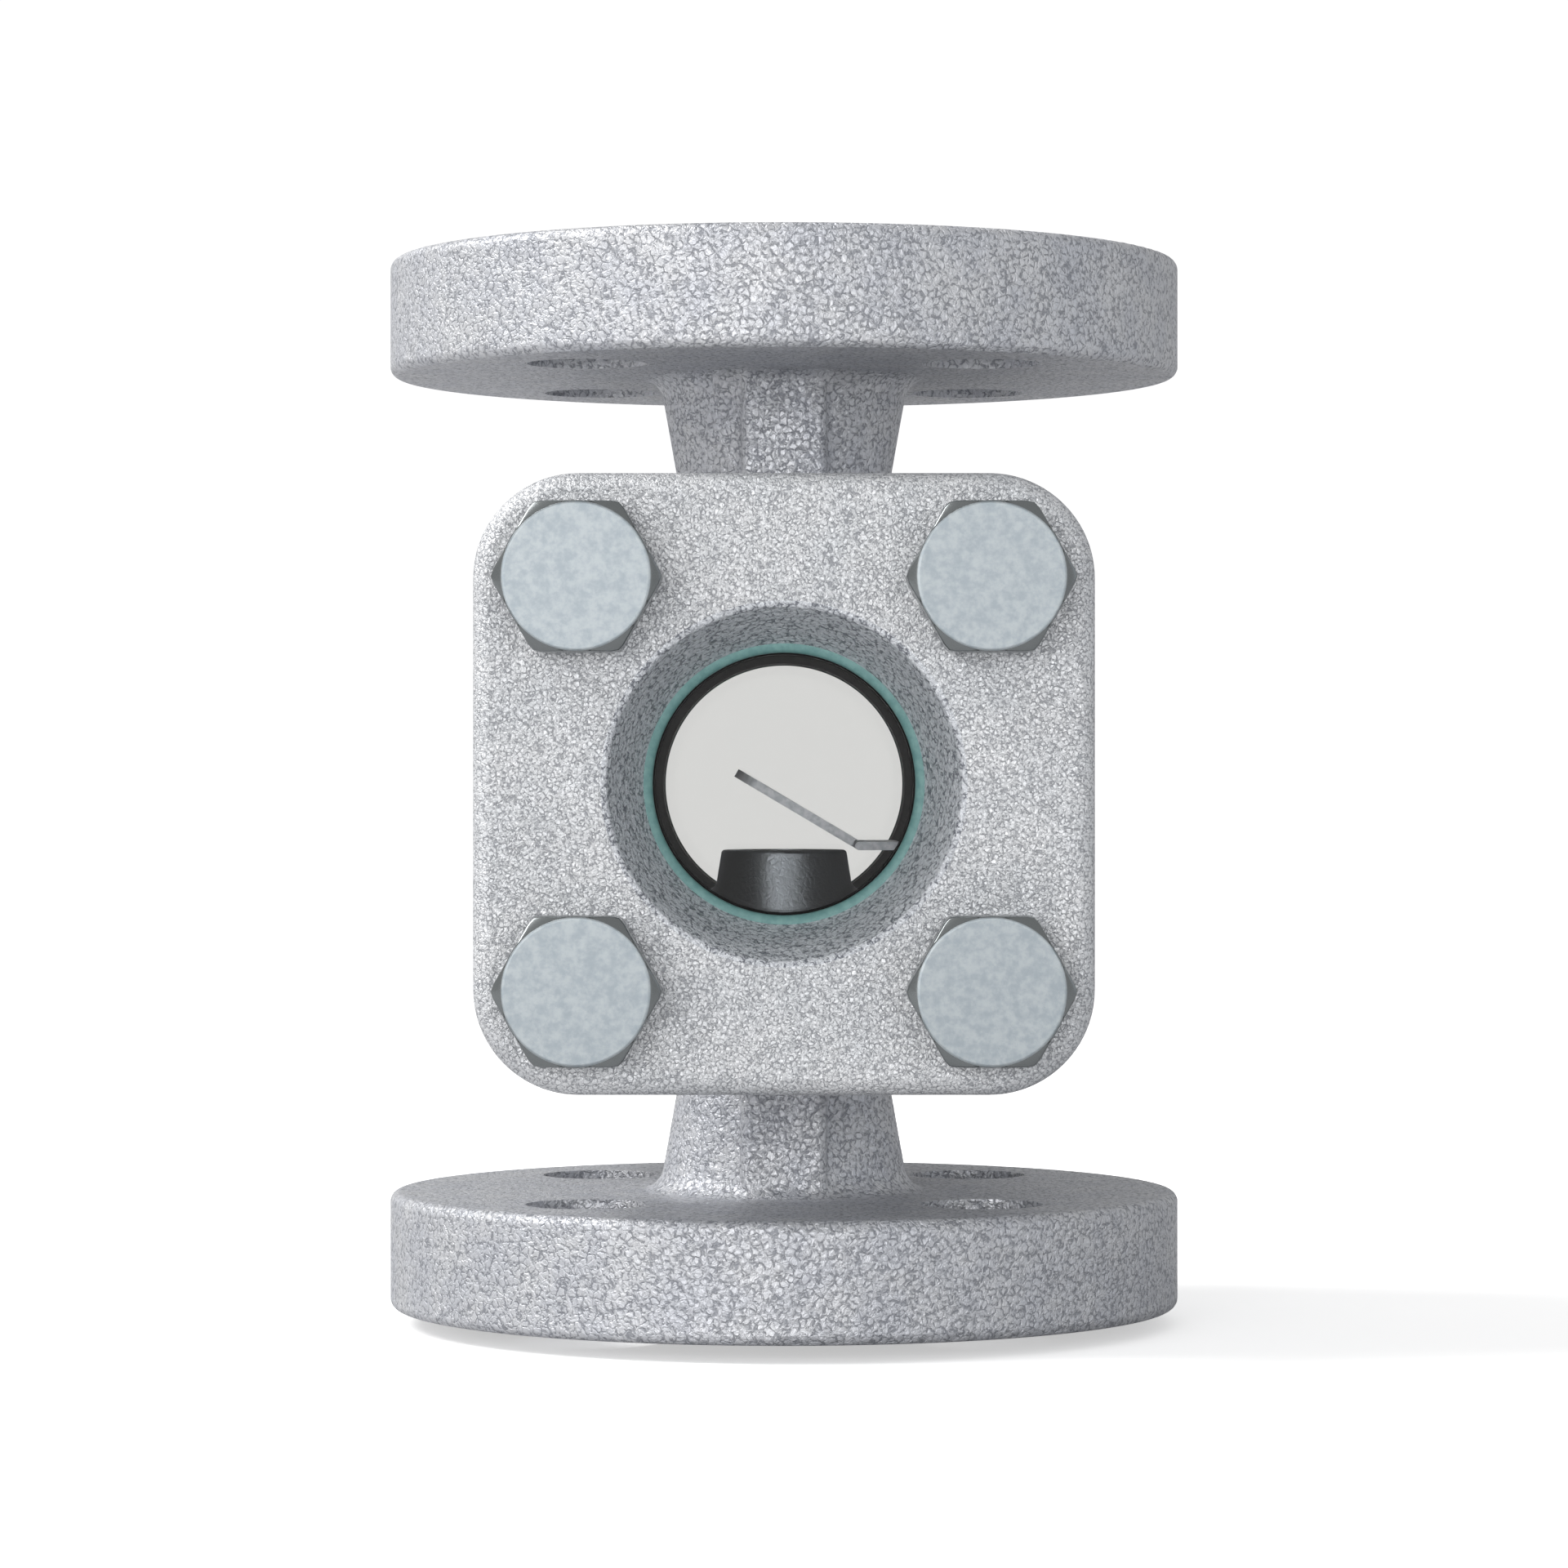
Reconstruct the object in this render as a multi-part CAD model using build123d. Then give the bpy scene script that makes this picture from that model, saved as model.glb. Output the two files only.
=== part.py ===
"""Flanged sight glass for a DN15 pipe line, in millimetres, +Z up.

The cast body carries a pipe flange at each end of Z and a glazed window at each
end of Y, the front one towards -Y. The origin is where the pipe axis crosses the
window axis. Flow enters at the bottom, leaves the nozzle and lifts a hinged flap
that is watched through the windows.
"""

import os
from math import cos, radians, sqrt, tan

from build123d import *

# Pipe flanges
face_to_face = 130.0
flange_diameter = 95.0
flange_thickness = 14.0
flange_edge_round = 1.2
raised_face_diameter = 45.0
raised_face_height = 2.0
flange_hole_circle = 65.0
flange_hole_diameter = 14.0
inlet_hole_oversize = 0.4
flange_hole_count = 4
pipe_bore = 15.0

# Necks between the pipe flanges and the chamber
neck_root_diameter = 30.1
neck_half_angle = 10.0
neck_fillet = 3.0
neck_joint_fillet = 1.0
rib_width = 10.0
rib_edge_round = 1.0
rib_setback = 1.0
rib_foot_fillet = 1.5

# Window openings, seen from the front
sight_diameter = 30.0
sight_lip_length = 3.0
chamber_relief = 1.0
chamber_length = 40.0
chamber_wall = 8.0
window_flange_thickness = 15.5
window_flange_edge_round = 1.0
barrel_fillet = 3.0

# Glass and its two gaskets
glass_seat_width = 7.5
glass_thickness = 10.0
glass_edge_chamfer = 0.6
inner_gasket_thickness = 2.0
outer_gasket_thickness = 1.0
pocket_clearance = 0.7
pocket_depth = 9.0

# Cover plates
cover_thickness = 13.0
cover_gap = 1.0
cover_corner_radius = 11.9
cover_edge_round = 2.0
cover_back_round = 0.6
window_lip_overhang = 1.05
window_mouth_diameter = 40.0
window_mouth_round = 0.6

# Cover bolts, M10 x 25 with hexagon heads
bolt_diameter = 10.0
bolt_length = 25.0
bolt_head_across_flats = 16.8
bolt_head_height = 6.4
bolt_head_chamfer_angle = 30.0
bolt_face_diameter = 16.5
bolt_tip_chamfer = 1.0
bolt_land = 4.47
bolt_hole_clearance = 0.5
thread_clearance = 0.05

# Nozzle under the flap
nozzle_rim_diameter = 15.0
nozzle_rim_round = 0.5
nozzle_half_angle = 9.0
nozzle_foot_fillet = 1.2
nozzle_bore = 11.0
nozzle_reducer_length = 6.0
nozzle_foot_depth = 2.0

# Flap, bracket and hinge
hinge_drop = 7.35
hinge_offset = 1.45
flap_angle = 30.7
flap_thickness = 1.0
flap_tip_overhang = 0.55
flap_side_overhang = 2.5
flap_corner_radius = 3.0
flap_seat_gap = 0.05
hinge_pin_diameter = 0.5
hinge_pin_fit = 0.01
hinge_running_clearance = 0.02
hinge_tongue_width = 11.0
hinge_side_clearance = 0.3
hinge_end_clearance = 0.3
bracket_thickness = 1.0
bracket_bend_radius = 1.0
bracket_leg_length = 5.6
bracket_seat_depth = 0.8
bracket_pocket_margin = 0.6
bracket_pocket_reach = 5.3

# Bracket screws, M2 with cheese heads
screw_diameter = 2.0
screw_head_diameter = 3.4
screw_head_height = 1.2
screw_slot_width = 0.5
screw_slot_depth = 0.5
screw_spacing = 12.0
screw_drop = 3.2
screw_grip = 5.0
screw_hole_clearance = 0.2

# Heights along the pipe axis
half_length = face_to_face / 2
flange_front = half_length - raised_face_height
flange_back = flange_front - flange_thickness

# Radii and depths along the window axis
sight_radius = sight_diameter / 2
chamber_radius = sight_radius + chamber_relief
barrel_radius = chamber_radius + chamber_wall
seat_depth = chamber_length / 2 + sight_lip_length
body_face = seat_depth + pocket_depth
window_flange_back = body_face - window_flange_thickness
glass_inner_face = seat_depth + inner_gasket_thickness
glass_outer_face = glass_inner_face + glass_thickness
gasket_outer_face = glass_outer_face + outer_gasket_thickness
glass_radius = sight_radius + glass_seat_width
pocket_radius = glass_radius + pocket_clearance
cover_back = body_face + cover_gap
cover_front = cover_back + cover_thickness
bolt_centre = (pocket_radius + bolt_land + bolt_diameter / 2) / sqrt(2)
plate_side = 2 * (bolt_centre + cover_corner_radius)

# Largest difference between two radii that count as the same
same_radius = 0.001

# Places of the nozzle, the flap and its bracket
nozzle_rim_radius = nozzle_rim_diameter / 2
hinge_x = nozzle_rim_radius + hinge_offset
hinge_z = -hinge_drop
nozzle_top = hinge_z - flap_thickness / 2 - flap_seat_gap
flap_length = hinge_x + nozzle_rim_radius + flap_tip_overhang
flap_width = nozzle_rim_diameter + 2 * flap_side_overhang
bracket_seat_x = chamber_radius - bracket_seat_depth
bracket_leg_x = bracket_seat_x - bracket_thickness
bracket_leg_bottom = hinge_z - bracket_leg_length
hinge_reach = max(flap_thickness, bracket_thickness) / 2 + hinge_end_clearance
screw_z = hinge_z - screw_drop
screw_rows = (-screw_spacing / 2, screw_spacing / 2)

# How a shape stands on its base plane or hangs below it
upward = (Align.CENTER, Align.CENTER, Align.MIN)
downward = (Align.CENTER, Align.CENTER, Align.MAX)


def along_window(radius: float, start: float, stop: float) -> Cylinder:
    """A cylinder on the window axis, between two depths towards the front."""
    plane = Plane(origin=(0, -start, 0), x_dir=(1, 0, 0), z_dir=(0, -1, 0))
    return plane * Cylinder(radius, stop - start, align=upward)


def rounded_plate(side: float, corner: float, start: float, stop: float) -> Part:
    """A square plate with round corners, between two depths towards the front."""
    plane = Plane(origin=(0, -start, 0), x_dir=(1, 0, 0), z_dir=(0, -1, 0))
    return extrude(plane * RectangleRounded(side, side, corner), stop - start)


def bolt_places() -> list[tuple[float, float]]:
    """Centres of the cover bolts, clockwise from the upper left corner."""
    signs = ((-1, 1), (1, 1), (1, -1), (-1, -1))
    return [(x_side * bolt_centre, z_side * bolt_centre) for x_side, z_side in signs]


def rear_of(part: Part) -> Part:
    """The same piece at the rear window, turned half a turn about the pipe axis."""
    return part.rotate(Axis.Z, 180)


def neck_and_flange() -> Part:
    """The upper neck cone, pipe flange and raised face, as one turned shape."""
    neck_root = neck_root_diameter / 2
    neck_centre = neck_root - flange_back * tan(radians(neck_half_angle))
    with BuildPart() as turned:
        with BuildSketch(Plane.XZ) as section:
            with BuildLine():
                Polyline(
                    (0, 0),
                    (neck_centre, 0),
                    (neck_root, flange_back),
                    (flange_diameter / 2, flange_back),
                    (flange_diameter / 2, flange_front),
                    (raised_face_diameter / 2, flange_front),
                    (raised_face_diameter / 2, half_length),
                    (0, half_length),
                    close=True,
                )
            make_face()
            rim = section.vertices().group_by(Axis.X)[-1]
            fillet(rim, flange_edge_round)
            root = section.vertices().sort_by_distance((neck_root, flange_back))[0]
            fillet(root, neck_fillet)
        revolve(axis=Axis.Z)
    return turned.part


def rib() -> Part:
    """The flat rib that runs up both necks, front and rear, as one bar."""
    bar = Box(rib_width, 2 * (window_flange_back - rib_setback), 2 * flange_back)
    return fillet(bar.edges().filter_by(Axis.Z), rib_edge_round)


def nozzle() -> Part:
    """The tapered nozzle that stands on the chamber floor, still without its bore."""
    foot = -chamber_radius - nozzle_foot_depth
    foot_radius = nozzle_rim_radius + (nozzle_top - foot) * tan(radians(nozzle_half_angle))
    with BuildPart() as turned:
        with BuildSketch(Plane.XZ) as section:
            with BuildLine():
                rim_corner = (nozzle_rim_radius, nozzle_top)
                Polyline((0, foot), (foot_radius, foot), rim_corner, (0, nozzle_top), close=True)
            make_face()
            rim = section.vertices().sort_by_distance(rim_corner)[0]
            fillet(rim, nozzle_rim_round)
        revolve(axis=Axis.Z)
    return turned.part


def chamber_space() -> Part:
    """The hollow between the two lips, with the nozzle left standing in it."""
    hollow = along_window(chamber_radius, -chamber_length / 2, chamber_length / 2)
    space = hollow - nozzle()
    foot = space.edges().filter_by(GeomType.BSPLINE)
    return fillet(foot, nozzle_foot_fillet)


def bracket_pocket() -> Part:
    """The flat seat milled into the chamber wall for the bracket's leg."""
    top = hinge_z + bracket_thickness / 2 + bracket_pocket_margin
    bottom = bracket_leg_bottom - bracket_pocket_margin
    return Pos(bracket_seat_x, 0, bottom) * Box(
        bracket_pocket_reach,
        flap_width + 2 * bracket_pocket_margin,
        top - bottom,
        align=(Align.MAX, Align.CENTER, Align.MIN),
    )


def pipe_bores() -> Part:
    """The bores from both pipe faces, the lower one narrowing into the nozzle."""
    reducer_top = -chamber_radius - nozzle_foot_depth
    reducer_bottom = reducer_top - nozzle_reducer_length
    outlet = Cylinder(pipe_bore / 2, half_length, align=upward)
    with BuildPart() as inlet:
        with BuildSketch(Plane.XZ):
            with BuildLine():
                Polyline(
                    (0, -half_length),
                    (pipe_bore / 2, -half_length),
                    (pipe_bore / 2, reducer_bottom),
                    (nozzle_bore / 2, reducer_top),
                    (nozzle_bore / 2, nozzle_top + nozzle_rim_round),
                    (0, nozzle_top + nozzle_rim_round),
                    close=True,
                )
            make_face()
        revolve(axis=Axis.Z)
    return outlet + inlet.part


def screw_holes() -> list[Part]:
    """The threaded holes for the bracket screws."""
    hole = Cylinder(screw_diameter / 2 + thread_clearance, screw_grip, align=upward)
    return [Pos(bracket_seat_x, y, screw_z) * Rot(0, 90, 0) * hole for y in screw_rows]


def drum() -> Part:
    """The chamber barrel between its two square window flanges."""
    shape = along_window(barrel_radius, -body_face, body_face)
    for start, stop in ((window_flange_back, body_face), (-body_face, -window_flange_back)):
        plate = rounded_plate(plate_side, cover_corner_radius, start, stop)
        faces = plate.faces().filter_by(Axis.Y)
        shape += fillet(faces.edges(), window_flange_edge_round)
    circles = shape.edges().filter_by(GeomType.CIRCLE)
    roots = [edge for edge in circles if abs(edge.radius - barrel_radius) < same_radius]
    return fillet(roots, barrel_fillet)


def outer_casting() -> Part:
    """The outside of the casting: drum, ribbed necks and pipe flanges."""
    upper = neck_and_flange()
    necks = upper + upper.mirror(Plane.XY)
    ribbed = necks + rib()
    ribbed = fillet(ribbed.edges().filter_by(GeomType.HYPERBOLA), rib_foot_fillet)
    middle = drum()
    joined = ribbed + middle
    seam = new_edges(ribbed, middle, combined=joined)
    return fillet(seam, neck_joint_fillet)


def body() -> Part:
    """The casting with its chamber, window seats, bores and threaded holes."""
    casting = outer_casting() - chamber_space() - bracket_pocket() - pipe_bores()
    casting -= along_window(sight_radius, -seat_depth, -chamber_length / 2)
    casting -= along_window(sight_radius, chamber_length / 2, seat_depth)
    tap_radius = bolt_diameter / 2 + thread_clearance
    for back, seat, face in (
        (window_flange_back, seat_depth, body_face),
        (-body_face, -body_face, -seat_depth),
    ):
        casting -= along_window(pocket_radius, seat, face)
        tapped = along_window(tap_radius, back, back + window_flange_thickness)
        for x, z in bolt_places():
            casting -= Pos(x, 0, z) * tapped
    for hole in screw_holes():
        casting -= hole
    first_angle = 180 / flange_hole_count
    outlet_hole = flange_hole_diameter
    inlet_hole = flange_hole_diameter + inlet_hole_oversize
    for level, diameter in ((flange_back, outlet_hole), (-flange_front, inlet_hole)):
        drill = Cylinder(diameter / 2, flange_thickness, align=upward)
        for place in PolarLocations(flange_hole_circle / 2, flange_hole_count, first_angle):
            casting -= Pos(0, 0, level) * place * drill
    return casting


def cover() -> Part:
    """The front cover plate with its conical window and bolt holes."""
    plate = rounded_plate(plate_side, cover_corner_radius, cover_back, cover_front)
    front = plate.faces().sort_by(Axis.Y)[0]
    plate = fillet(front.edges(), cover_edge_round)
    back = plate.faces().sort_by(Axis.Y)[-1]
    plate = fillet(back.edges(), cover_back_round)
    plate -= along_window(pocket_radius, cover_back, gasket_outer_face)
    lip_radius = sight_radius + window_lip_overhang
    with BuildPart() as window:
        with BuildSketch(Plane.XY):
            with BuildLine():
                Polyline(
                    (0, -gasket_outer_face),
                    (lip_radius, -gasket_outer_face),
                    (window_mouth_diameter / 2, -cover_front),
                    (0, -cover_front),
                    close=True,
                )
            make_face()
        revolve(axis=Axis.Y)
    plate -= window.part
    mouth = plate.edges().filter_by(GeomType.CIRCLE).group_by(Axis.Y)[0]
    plate = fillet(mouth, window_mouth_round)
    for x, z in bolt_places():
        hole = along_window(bolt_diameter / 2 + bolt_hole_clearance, cover_back, cover_front)
        plate -= Pos(x, 0, z) * hole
    return plate


def glass() -> Part:
    """The front sight glass, a toughened disc with ground edges."""
    disc = along_window(glass_radius, glass_inner_face, glass_outer_face)
    return chamfer(disc.edges().filter_by(GeomType.CIRCLE), glass_edge_chamfer)


def gasket(start: float, stop: float) -> Part:
    """A flat ring gasket at the front window."""
    return along_window(glass_radius, start, stop) - along_window(sight_radius, start, stop)


def hex_bolt(x: float, z: float) -> Part:
    """A hexagon head bolt that clamps the front cover at one corner."""
    across_corners = bolt_head_across_flats / cos(radians(30))
    drop = (across_corners - bolt_face_diameter) / 2 * tan(radians(bolt_head_chamfer_angle))
    plane = Plane(origin=(x, -cover_front, z), x_dir=(1, 0, 0), z_dir=(0, -1, 0))
    head = extrude(RegularPolygon(across_corners / 2, 6), bolt_head_height)
    with BuildPart() as chamfered:
        with BuildSketch(Plane.XZ):
            with BuildLine():
                Polyline(
                    (0, 0),
                    (across_corners / 2, 0),
                    (across_corners / 2, bolt_head_height - drop),
                    (bolt_face_diameter / 2, bolt_head_height),
                    (0, bolt_head_height),
                    close=True,
                )
            make_face()
        revolve(axis=Axis.Z)
    shank = Cylinder(bolt_diameter / 2, bolt_length, align=downward)
    shank = chamfer(shank.edges().sort_by(Axis.Z)[0], bolt_tip_chamfer)
    return plane * ((head & chamfered.part) + shank)


def along_hinge(radius: float, width: float) -> Cylinder:
    """A cylinder on the hinge line, centred on the flap's width."""
    return Pos(hinge_x, 0, hinge_z) * Rot(-90, 0, 0) * Cylinder(radius, width)


def bracket() -> Part:
    """The bent sheet that carries the hinge: forked end, flat, bend and leg."""
    half = bracket_thickness / 2
    outer_bend = bracket_bend_radius + bracket_thickness
    with BuildPart() as bent:
        with BuildSketch(Plane.XZ) as section:
            with BuildLine():
                Polyline(
                    (hinge_x, hinge_z - half),
                    (bracket_leg_x, hinge_z - half),
                    (bracket_leg_x, bracket_leg_bottom),
                    (bracket_seat_x, bracket_leg_bottom),
                    (bracket_seat_x, hinge_z + half),
                    (hinge_x, hinge_z + half),
                    close=True,
                )
            make_face()
            inner = section.vertices().sort_by_distance((bracket_leg_x, hinge_z - half))[0]
            fillet(inner, bracket_bend_radius)
            outer = section.vertices().sort_by_distance((bracket_seat_x, hinge_z + half))[0]
            fillet(outer, outer_bend)
        extrude(amount=flap_width / 2, both=True)
    slot_width = hinge_tongue_width + 2 * hinge_side_clearance
    slot = Pos(hinge_x, 0, hinge_z) * Box(2 * hinge_reach, slot_width, 2 * bracket_thickness)
    sheet = bent.part + along_hinge(half, flap_width)
    sheet -= slot
    sheet -= along_hinge(hinge_pin_diameter / 2 + hinge_pin_fit, flap_width)
    for y in screw_rows:
        hole = Cylinder(screw_diameter / 2 + screw_hole_clearance, 2 * bracket_thickness)
        sheet -= Pos(bracket_leg_x, y, screw_z) * Rot(0, 90, 0) * hole
    return sheet


def flap() -> Part:
    """The indicator flap, a stamped sheet with a tongue on the hinge pin."""
    half = flap_thickness / 2
    plate_length = flap_length - hinge_reach
    plate = Pos(-hinge_reach - plate_length / 2, 0, 0) * Box(plate_length, flap_width, flap_thickness)
    corners = plate.edges().filter_by(Axis.Z).group_by(Axis.X)[0]
    plate = fillet(corners, flap_corner_radius)
    inward = (Align.MAX, Align.CENTER, Align.CENTER)
    tongue = Box(hinge_reach, hinge_tongue_width, flap_thickness, align=inward)
    nose = Rot(-90, 0, 0) * Cylinder(half, hinge_tongue_width)
    eye_radius = hinge_pin_diameter / 2 + hinge_running_clearance
    eye = Rot(-90, 0, 0) * Cylinder(eye_radius, hinge_tongue_width)
    closed = plate + tongue + nose - eye
    return Pos(hinge_x, 0, hinge_z) * Rot(0, flap_angle, 0) * closed


def hinge_pin() -> Part:
    """The pin that the flap swings on, held in the bracket's two ears."""
    return along_hinge(hinge_pin_diameter / 2, flap_width)


def bracket_screw(y: float) -> Part:
    """A slotted screw that holds the bracket's leg to its seat."""
    shank = Cylinder(screw_diameter / 2, bracket_thickness + screw_grip, align=upward)
    head = Cylinder(screw_head_diameter / 2, screw_head_height, align=downward)
    slot = Box(screw_slot_width, screw_head_diameter, screw_slot_depth, align=upward)
    screw = shank + head - Pos(0, 0, -screw_head_height) * slot
    return Pos(bracket_leg_x, y, screw_z) * Rot(0, 90, 0) * screw


def pieces() -> dict[str, Part]:
    """Every sub-part of the sight glass by its name."""
    parts = {"body": body()}
    windows = {
        "cover": cover(),
        "glass": glass(),
        "inner_gasket": gasket(seat_depth, glass_inner_face),
        "outer_gasket": gasket(glass_outer_face, gasket_outer_face),
    }
    for number, (x, z) in enumerate(bolt_places(), start=1):
        windows[f"bolt_{number}"] = hex_bolt(x, z)
    for name, piece in windows.items():
        parts[f"front_{name}"] = piece
        parts[f"rear_{name}"] = rear_of(piece)
    parts["flap_bracket"] = bracket()
    parts["hinge_pin"] = hinge_pin()
    parts["flap"] = flap()
    for number, y in enumerate(screw_rows, start=1):
        parts[f"bracket_screw_{number}"] = bracket_screw(y)
    return parts


os.makedirs("parts", exist_ok=True)
for part_name, solid in pieces().items():
    solid.label = part_name
    export_step(solid, f"parts/{part_name}.step")
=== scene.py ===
"""Looks of a flanged sight glass: finishes, cover bolts, studio and camera.

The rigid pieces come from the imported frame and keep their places. This script gives
each of them its finish, turns finer cover bolts and green rings, and sets up a plain
pale studio with the camera straight in front of the window. Every length is in metres.
"""

import logging
import math
from collections.abc import Callable
from dataclasses import dataclass, field
from enum import Enum

import bmesh
import bpy
from mathutils import Matrix, Vector


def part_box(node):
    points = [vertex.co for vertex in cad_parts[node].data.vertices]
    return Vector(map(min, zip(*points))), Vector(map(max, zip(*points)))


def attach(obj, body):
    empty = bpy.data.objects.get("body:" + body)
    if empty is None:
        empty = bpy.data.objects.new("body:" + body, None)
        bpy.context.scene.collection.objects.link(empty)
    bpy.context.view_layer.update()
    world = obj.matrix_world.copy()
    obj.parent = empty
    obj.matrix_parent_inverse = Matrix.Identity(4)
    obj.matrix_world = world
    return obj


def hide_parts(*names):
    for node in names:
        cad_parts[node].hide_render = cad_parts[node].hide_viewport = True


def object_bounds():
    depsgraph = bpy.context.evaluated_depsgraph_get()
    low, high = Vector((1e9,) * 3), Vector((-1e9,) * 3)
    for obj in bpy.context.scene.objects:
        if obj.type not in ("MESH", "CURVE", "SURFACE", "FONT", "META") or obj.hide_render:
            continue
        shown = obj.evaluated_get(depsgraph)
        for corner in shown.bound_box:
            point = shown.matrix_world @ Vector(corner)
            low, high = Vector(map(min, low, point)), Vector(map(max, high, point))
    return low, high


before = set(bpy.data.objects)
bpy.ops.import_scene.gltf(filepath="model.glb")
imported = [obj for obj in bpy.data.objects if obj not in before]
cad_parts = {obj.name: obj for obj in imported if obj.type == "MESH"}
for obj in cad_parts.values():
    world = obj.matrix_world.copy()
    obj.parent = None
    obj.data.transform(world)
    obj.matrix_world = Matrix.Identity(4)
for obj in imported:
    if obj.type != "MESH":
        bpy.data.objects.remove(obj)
cad_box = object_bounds()

log = logging.getLogger("sight_glass")

MM = 0.001

Colour = tuple[float, float, float, float]

# The curve of sRGB.
SRGB_TOE = 0.04045
SRGB_TOE_SLOPE = 12.92
SRGB_OFFSET = 0.055
SRGB_POWER = 2.4

# Where a Mix node has its sockets.
MIX_SHARE = 0
MIX_VALUES = (2, 3)
MIX_VALUE = 0
MIX_COLOURS = (6, 7)
MIX_COLOUR = 2


def linear(value: float) -> float:
    """Turns one channel of a colour from sRGB to linear.

    Args:
        value: The channel in sRGB, 0 to 255.

    Returns:
        The linear channel, 0 to 1.
    """
    share = value / 255
    if share <= SRGB_TOE:
        return share / SRGB_TOE_SLOPE
    return ((share + SRGB_OFFSET) / (1 + SRGB_OFFSET)) ** SRGB_POWER


def tone(red: float, green: float, blue: float) -> Colour:
    """Mixes an opaque colour.

    Args:
        red: The red channel in sRGB, 0 to 255.
        green: The green channel.
        blue: The blue channel.

    Returns:
        The linear colour.
    """
    return (linear(red), linear(green), linear(blue), 1.0)


class Window(Enum):
    """The two glazed windows of the body."""

    FRONT = "front"
    REAR = "rear"

    @property
    def outward(self) -> float:
        """The sign of Y on the outside of this window."""
        return -1.0 if self is Window.FRONT else 1.0


class NodeBench:
    """Places and links shader nodes in one node tree."""

    def __init__(self, tree: bpy.types.NodeTree) -> None:
        """Starts on a tree.

        Args:
            tree: The node tree to build in.
        """
        self.tree = tree

    def add(self, kind: str, **values: object) -> bpy.types.Node:
        """Adds a node.

        Args:
            kind: Blender's type name of the node.
            values: Properties of the node, by name.

        Returns:
            The new node.
        """
        node = self.tree.nodes.new(kind)
        for name, value in values.items():
            setattr(node, name, value)
        return node

    def feed(self, source: object, target: bpy.types.NodeSocket) -> None:
        """Links a socket, or sets a constant, on an input.

        Args:
            source: A socket to link, or the value to set.
            target: The input that receives it.
        """
        if isinstance(source, bpy.types.NodeSocket):
            self.tree.links.new(source, target)
        else:
            target.default_value = source

    def math(
        self, operation: str, first: object, second: object = 0.0, third: object = 0.0
    ) -> bpy.types.NodeSocket:
        """Adds a Math node.

        Args:
            operation: Blender's name of the operation.
            first: The first value or socket.
            second: The second value or socket.
            third: The third value or socket, where the operation has one.

        Returns:
            The result's socket.
        """
        node = self.add("ShaderNodeMath", operation=operation)
        for source, target in zip((first, second, third), node.inputs):
            self.feed(source, target)
        return node.outputs[0]

    def mix(self, share: object, first: object, second: object) -> bpy.types.NodeSocket:
        """Mixes two colours.

        Args:
            share: How much of the second colour, 0 to 1.
            first: The first colour or socket.
            second: The second colour or socket.

        Returns:
            The mixed colour's socket.
        """
        node = self.add("ShaderNodeMix", data_type="RGBA")
        for source, place in zip((share, first, second), (MIX_SHARE, *MIX_COLOURS)):
            self.feed(source, node.inputs[place])
        return node.outputs[MIX_COLOUR]

    def mix_value(self, share: object, first: object, second: object) -> bpy.types.NodeSocket:
        """Mixes two values.

        Args:
            share: How much of the second value, 0 to 1.
            first: The first value or socket.
            second: The second value or socket.

        Returns:
            The mixed value's socket.
        """
        node = self.add("ShaderNodeMix", data_type="FLOAT")
        for source, place in zip((share, first, second), (MIX_SHARE, *MIX_VALUES)):
            self.feed(source, node.inputs[place])
        return node.outputs[MIX_VALUE]

    def band(self, value: object, low: float, high: float) -> bpy.types.NodeSocket:
        """Maps a value to a smooth 0 to 1 ramp.

        Args:
            value: The value or socket.
            low: Where the ramp leaves 0.
            high: Where the ramp reaches 1.

        Returns:
            The ramp's socket.
        """
        node = self.add("ShaderNodeMapRange", interpolation_type="SMOOTHSTEP")
        self.feed(value, node.inputs["Value"])
        self.feed(low, node.inputs["From Min"])
        self.feed(high, node.inputs["From Max"])
        return node.outputs["Result"]

    def noise(
        self, where: object, scale: object, detail: float, roughness: float = 0.5, warp: float = 0.0
    ) -> bpy.types.Node:
        """Adds a fractal noise.

        Args:
            where: The coordinates' socket, in metres.
            scale: How many grains a metre holds.
            detail: How many finer layers it has.
            roughness: How strong the finer layers are.
            warp: How far it is warped.

        Returns:
            The noise's node.
        """
        node = self.add("ShaderNodeTexNoise")
        self.feed(where, node.inputs["Vector"])
        self.feed(scale, node.inputs["Scale"])
        self.feed(detail, node.inputs["Detail"])
        self.feed(roughness, node.inputs["Roughness"])
        self.feed(warp, node.inputs["Distortion"])
        return node


def new_group(
    name: str, inputs: dict[str, str], outputs: dict[str, str]
) -> tuple[bpy.types.NodeTree, bpy.types.Node, bpy.types.Node]:
    """Starts a shader node group.

    Args:
        name: The group's name.
        inputs: Each input's socket type.
        outputs: Each output's socket type.

    Returns:
        The group's tree, its input node and its output node.
    """
    tree = bpy.data.node_groups.new(name, "ShaderNodeTree")
    for side, sockets in (("INPUT", inputs), ("OUTPUT", outputs)):
        for label, kind in sockets.items():
            tree.interface.new_socket(label, in_out=side, socket_type=kind)
    return tree, tree.nodes.new("NodeGroupInput"), tree.nodes.new("NodeGroupOutput")


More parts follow.
